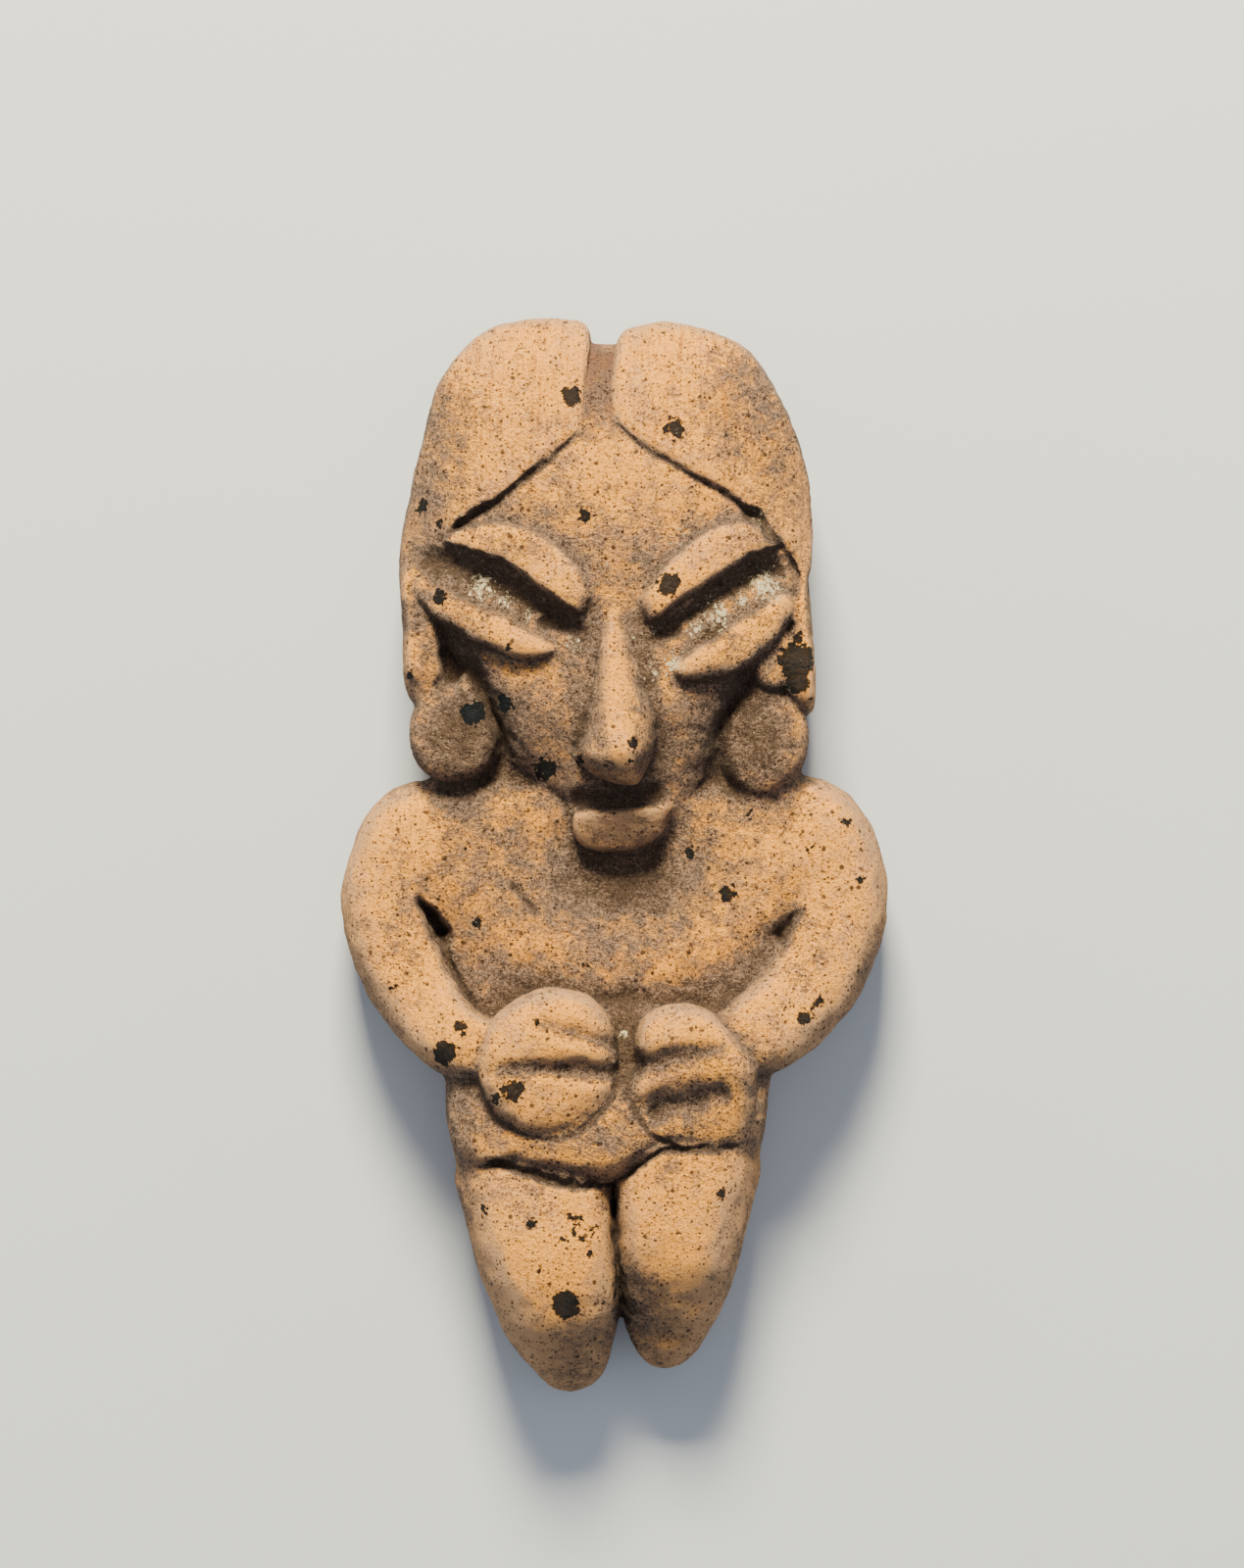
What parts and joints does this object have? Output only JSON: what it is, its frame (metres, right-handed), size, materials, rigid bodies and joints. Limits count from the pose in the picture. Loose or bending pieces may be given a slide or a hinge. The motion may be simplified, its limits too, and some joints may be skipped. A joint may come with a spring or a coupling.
{
  "type": "chupicuaro figurine",
  "caption": "Small solid fired-clay female figure with slanting applied eyes, a parted hair cap, round ear ornaments and hands on the belly, lying on its flattened back.",
  "frame": {"origin": "under the middle of the figure's length and width, on the surface it lies on", "axes": "+Y along the figure towards the crown, +Z out of its front, +X to the right of a person who looks at its front"},
  "size_m": [0.0482, 0.0954, 0.0203],
  "materials": {
    "buff_earthenware": "matt low-fired clay, lightly burnished on the hair, with dark mineral spots and soil in the hollows"
  },
  "bodies": {
    "root": {"clay_figurine": "buff_earthenware"}
  },
  "joints": []
}
